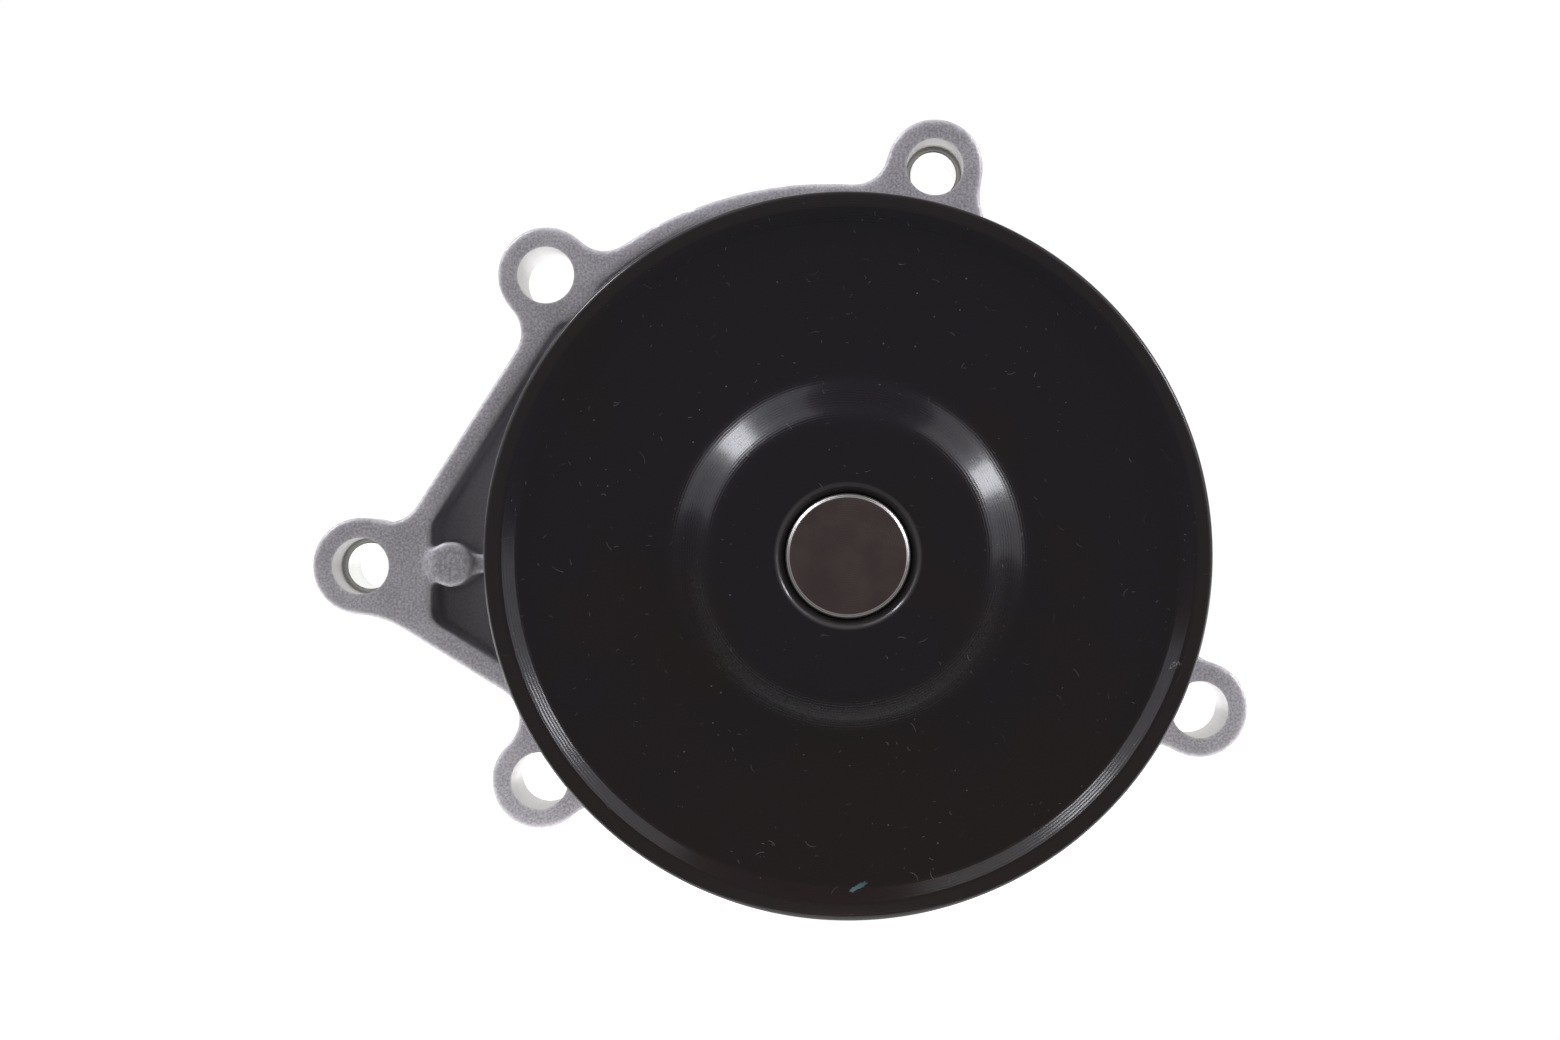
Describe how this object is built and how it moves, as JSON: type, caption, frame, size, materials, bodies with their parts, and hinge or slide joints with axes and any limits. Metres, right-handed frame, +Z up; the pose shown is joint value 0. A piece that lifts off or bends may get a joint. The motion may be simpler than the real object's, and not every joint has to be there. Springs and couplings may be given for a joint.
{
  "type": "water pump",
  "caption": "Belt driven engine coolant pump: cast body with bolt lugs, ribbed pulley, spindle bearing, face seal and vaned impeller.",
  "frame": {"origin": "on the shaft axis, in the plane of the mounting face", "axes": "+Y along the shaft towards the engine, -Y towards the pulley, +Z up as the pump stands on the engine, +X to the right seen from the pulley"},
  "size_m": [0.1273, 0.0719, 0.1065],
  "materials": {
    "cast_alloy": "shot blasted casting",
    "gasket_rubber": "matt",
    "sleeve_steel": "drawn tube",
    "bearing_steel": "ground",
    "cage_plastic": "moulded",
    "seal_rubber": "matt",
    "shaft_steel": "turned and hardened",
    "black_coat": "dipped black coat, glossy",
    "seal_metal": "pressed sheet",
    "spring_steel": "drawn wire",
    "carbon": "lapped carbon",
    "hard_ceramic": "lapped",
    "impeller_plastic": "glass filled moulding",
    "bush_brass": "turned"
  },
  "bodies": {
    "housing": {"pump_housing": "cast_alloy", "housing_gasket": "gasket_rubber", "locating_sleeves": "sleeve_steel", "bearing_outer_ring": "bearing_steel", "front_bearing_seal": "seal_rubber", "rear_bearing_seal": "seal_rubber", "seal_case": "seal_metal", "seal_bellows": "seal_rubber", "rear_spring_seat": "seal_metal", "seal_spring": "spring_steel"},
    "rotor": {"pump_shaft": "shaft_steel", "pulley": "black_coat", "water_slinger": "seal_rubber", "mating_ring": "hard_ceramic", "mating_ring_boot": "seal_rubber", "seal_sleeve": "seal_metal", "impeller": "impeller_plastic", "impeller_bush": "bush_brass"},
    "ball_train": {"bearing_balls": "bearing_steel", "ball_cage": "cage_plastic"},
    "roller_train": {"bearing_rollers": "bearing_steel", "roller_cage": "cage_plastic"},
    "seal_face": {"face_carrier": "seal_metal", "carbon_ring": "carbon"}
  },
  "joints": [
    {"name": "shaft_spin", "type": "hinge", "parent": "housing", "child": "rotor", "pos_m": [0, 0, 0], "axis": [0, -1, 0], "continuous": true},
    {"name": "ball_train_spin", "type": "hinge", "parent": "housing", "child": "ball_train", "pos_m": [0, 0, 0], "axis": [0, -1, 0], "continuous": true},
    {"name": "roller_train_spin", "type": "hinge", "parent": "housing", "child": "roller_train", "pos_m": [0, 0, 0], "axis": [0, -1, 0], "continuous": true},
    {"name": "seal_face_float", "type": "slide", "parent": "housing", "child": "seal_face", "axis": [0, 1, 0], "range_m": [-0.0008, 0], "stiffness_N_per_m": 400, "springref_m": 0.0005, "deforming": ["seal_spring", "seal_bellows"]}
  ],
  "couplings": [
    {"joint": "ball_train_spin", "follows": "shaft_spin", "ratio": 0.34517},
    {"joint": "roller_train_spin", "follows": "shaft_spin", "ratio": 0.3807}
  ]
}
